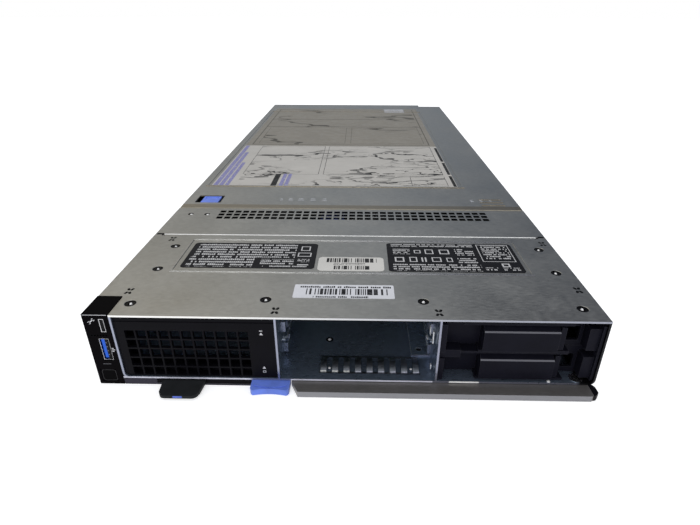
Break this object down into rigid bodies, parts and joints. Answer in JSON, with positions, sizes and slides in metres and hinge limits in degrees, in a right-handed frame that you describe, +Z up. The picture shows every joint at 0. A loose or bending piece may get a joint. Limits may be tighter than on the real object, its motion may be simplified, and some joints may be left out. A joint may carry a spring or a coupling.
{
  "type": "blade server",
  "caption": "Single-width blade server sled with drive bays, swing-out release handle, pull-out tag, power button and sliding rear cover over its system board.",
  "frame": {"origin": "middle of the footprint on the underside, the server lying on its side", "axes": "+Z up through the covers, the front with the drive bays faces -Y, +X to the right seen from the front"},
  "size_m": [0.2502, 0.5954, 0.0421],
  "materials": {
    "galvanised_steel": "zinc-coated sheet, satin",
    "cage_steel": "zinc-coated sheet, satin",
    "bright_steel": "zinc plated",
    "spring_steel": "tinned spring steel",
    "port_steel": "nickel plated",
    "handle_steel": "darkened folded steel",
    "black_plastic": "fine moulded texture",
    "blue_plastic": "touch-point blue",
    "usb_plastic": "moulded",
    "pale_plastic": "moulded",
    "circuit_board": "solder mask over glass laminate",
    "brass": "turned",
    "nickel_copper": "nickel plated lid",
    "aluminium": "stamped fins",
    "black_anodised": "black anodised",
    "cast_metal": "die cast"
  },
  "bodies": {
    "chassis": {"chassis_base": "galvanised_steel", "front_cover": "galvanised_steel", "vent_bridge": "galvanised_steel", "cover_studs": "bright_steel", "cover_screws": "bright_steel", "drive_cage": "cage_steel", "cage_divider_left": "cage_steel", "cage_divider_right": "cage_steel", "emi_finger_strip": "spring_steel", "cage_rivets": "bright_steel", "bay_vent_blank": "black_plastic", "control_panel": "black_plastic", "power_switch": "bright_steel", "usb_port": "port_steel", "usb_tongue": "usb_plastic", "micro_usb_port": "port_steel", "control_board": "circuit_board", "tag_housing": "black_plastic", "button_spring": "spring_steel", "handle_pivot_pin": "bright_steel", "handle_spring": "spring_steel", "backplane": "circuit_board", "drive_connectors": "black_plastic", "system_board": "circuit_board", "standoffs": "brass", "board_screws": "bright_steel", "processor_sockets": "pale_plastic", "processors": "nickel_copper", "heatsink_front": "aluminium", "heatsink_rear": "aluminium", "heatsink_screws": "bright_steel", "dimm_sockets": "black_plastic", "dimm_latches": "pale_plastic", "memory_modules": "circuit_board", "storage_controller": "circuit_board", "controller_handle": "blue_plastic", "chipset_heatsink": "black_anodised", "boot_module": "circuit_board", "management_card": "circuit_board", "coin_battery": "bright_steel", "mezzanine_card_a": "circuit_board", "mezzanine_card_b": "circuit_board", "mini_mezzanine_card": "circuit_board", "mezzanine_connectors": "black_plastic", "mezzanine_screws": "bright_steel", "rear_panel": "galvanised_steel", "fabric_connectors": "black_plastic", "power_connector": "black_plastic", "signal_connector": "black_plastic", "guide_sockets": "cast_metal"},
    "rear_lid": {"rear_cover": "galvanised_steel", "latch_pin": "bright_steel"},
    "lid_latch": {"cover_latch": "blue_plastic"},
    "power_key": {"power_button": "black_plastic"},
    "pull_tag": {"info_tag": "black_plastic"},
    "thumb_button": {"release_button": "blue_plastic"},
    "swing_handle": {"release_handle": "handle_steel", "handle_cap": "black_plastic"},
    "upper_blank": {"drive_blank_upper": "black_plastic"},
    "lower_blank": {"drive_blank_lower": "black_plastic"}
  },
  "joints": [
    {"name": "handle_swing", "type": "hinge", "parent": "chassis", "child": "swing_handle", "pos_m": [0.117, -0.28225, 0.00195], "axis": [0, 0, 1], "range_deg": [0, 60]},
    {"name": "release_button_press", "type": "slide", "parent": "chassis", "child": "thumb_button", "axis": [0, 1, 0], "range_m": [0, 0.002], "stiffness_N_per_m": 600, "springref_m": -0.001, "deforming": ["button_spring"]},
    {"name": "info_tag_pull", "type": "slide", "parent": "chassis", "child": "pull_tag", "axis": [0, -1, 0], "range_m": [0, 0.054]},
    {"name": "power_button_press", "type": "slide", "parent": "chassis", "child": "power_key", "axis": [0, 1, 0], "range_m": [0, 0.0008], "stiffness_N_per_m": 600, "springref_m": -0.0005},
    {"name": "rear_cover_slide", "type": "slide", "parent": "chassis", "child": "rear_lid", "axis": [0, 1, 0], "range_m": [0, 0.014]},
    {"name": "cover_latch_press", "type": "hinge", "parent": "rear_lid", "child": "lid_latch", "pos_m": [-0.107, -0.13045, 0.03945], "axis": [-1, 0, 0], "range_deg": [0, 10], "stiffness_Nm_per_rad": 0.02, "springref_deg": -5.73},
    {"name": "drive_blank_upper_slide", "type": "slide", "parent": "chassis", "child": "upper_blank", "axis": [0, -1, 0], "range_m": [0, 0.075]},
    {"name": "drive_blank_lower_slide", "type": "slide", "parent": "chassis", "child": "lower_blank", "axis": [0, -1, 0], "range_m": [0, 0.075]}
  ]
}
